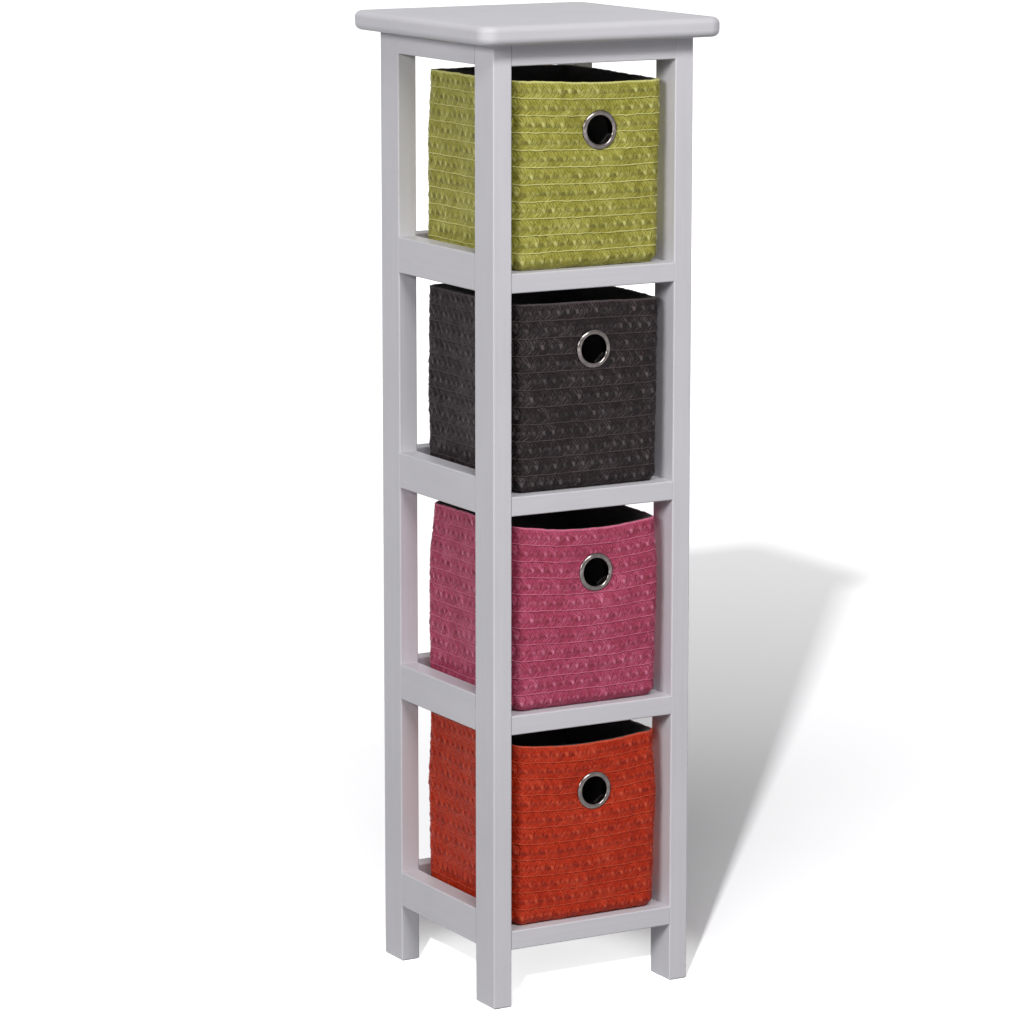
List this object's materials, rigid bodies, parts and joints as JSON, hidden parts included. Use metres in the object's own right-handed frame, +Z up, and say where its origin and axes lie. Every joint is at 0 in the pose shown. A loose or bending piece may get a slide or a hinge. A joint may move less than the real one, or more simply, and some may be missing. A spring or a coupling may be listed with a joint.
{
  "type": "basket drawer chest",
  "caption": "Narrow open wooden chest with pull-out plaited baskets as drawers, each lined and pulled by a metal-rimmed finger hole.",
  "frame": {"origin": "on the floor, under the middle of the frame's outline", "axes": "+Z up, front with the finger holes towards -Y, +X to the right seen from the front"},
  "size_m": [0.238, 0.244, 0.86],
  "materials": {
    "frame_paint": "satin pale grey-white paint on wood",
    "shelf_panel": "painted plywood",
    "dowel_wood": "plain beech",
    "screw_steel": "zinc-plated",
    "green_plait": "dyed plaited fibre braid, slight sheen",
    "brown_plait": "dyed plaited fibre braid, slight sheen",
    "pink_plait": "dyed plaited fibre braid, slight sheen",
    "red_plait": "dyed plaited fibre braid, slight sheen",
    "lining_cloth": "matt black nonwoven cloth",
    "base_board": "plain grey-brown board",
    "eyelet_metal": "plated, slightly worn nickel"
  },
  "bodies": {
    "frame": {"top_board": "frame_paint", "front_left_post": "frame_paint", "front_right_post": "frame_paint", "back_left_post": "frame_paint", "back_right_post": "frame_paint", "front_top_rail": "frame_paint", "back_top_rail": "frame_paint", "left_top_rail": "frame_paint", "right_top_rail": "frame_paint", "front_rail_1": "frame_paint", "front_rail_2": "frame_paint", "front_rail_3": "frame_paint", "front_rail_4": "frame_paint", "back_rail_1": "frame_paint", "back_rail_2": "frame_paint", "back_rail_3": "frame_paint", "back_rail_4": "frame_paint", "left_rail_1": "frame_paint", "left_rail_2": "frame_paint", "left_rail_3": "frame_paint", "left_rail_4": "frame_paint", "right_rail_1": "frame_paint", "right_rail_2": "frame_paint", "right_rail_3": "frame_paint", "right_rail_4": "frame_paint", "shelf_panel_1": "shelf_panel", "shelf_panel_2": "shelf_panel", "shelf_panel_3": "shelf_panel", "shelf_panel_4": "shelf_panel", "front_rail_dowels": "dowel_wood", "back_rail_dowels": "dowel_wood", "side_rail_dowels": "dowel_wood", "top_screws": "screw_steel"},
    "green_basket": {"green_basket_wall": "green_plait", "green_basket_lining": "lining_cloth", "green_basket_board": "base_board", "green_eyelet": "eyelet_metal", "green_eyelet_washer": "eyelet_metal"},
    "brown_basket": {"brown_basket_wall": "brown_plait", "brown_basket_lining": "lining_cloth", "brown_basket_board": "base_board", "brown_eyelet": "eyelet_metal", "brown_eyelet_washer": "eyelet_metal"},
    "pink_basket": {"pink_basket_wall": "pink_plait", "pink_basket_lining": "lining_cloth", "pink_basket_board": "base_board", "pink_eyelet": "eyelet_metal", "pink_eyelet_washer": "eyelet_metal"},
    "red_basket": {"red_basket_wall": "red_plait", "red_basket_lining": "lining_cloth", "red_basket_board": "base_board", "red_eyelet": "eyelet_metal", "red_eyelet_washer": "eyelet_metal"}
  },
  "joints": [
    {"name": "green_basket_slide", "type": "slide", "parent": "frame", "child": "green_basket", "axis": [0, -1, 0], "range_m": [-0.012, 0.2]},
    {"name": "brown_basket_slide", "type": "slide", "parent": "frame", "child": "brown_basket", "axis": [0, -1, 0], "range_m": [-0.012, 0.2]},
    {"name": "pink_basket_slide", "type": "slide", "parent": "frame", "child": "pink_basket", "axis": [0, -1, 0], "range_m": [-0.012, 0.2]},
    {"name": "red_basket_slide", "type": "slide", "parent": "frame", "child": "red_basket", "axis": [0, -1, 0], "range_m": [-0.012, 0.2]}
  ]
}
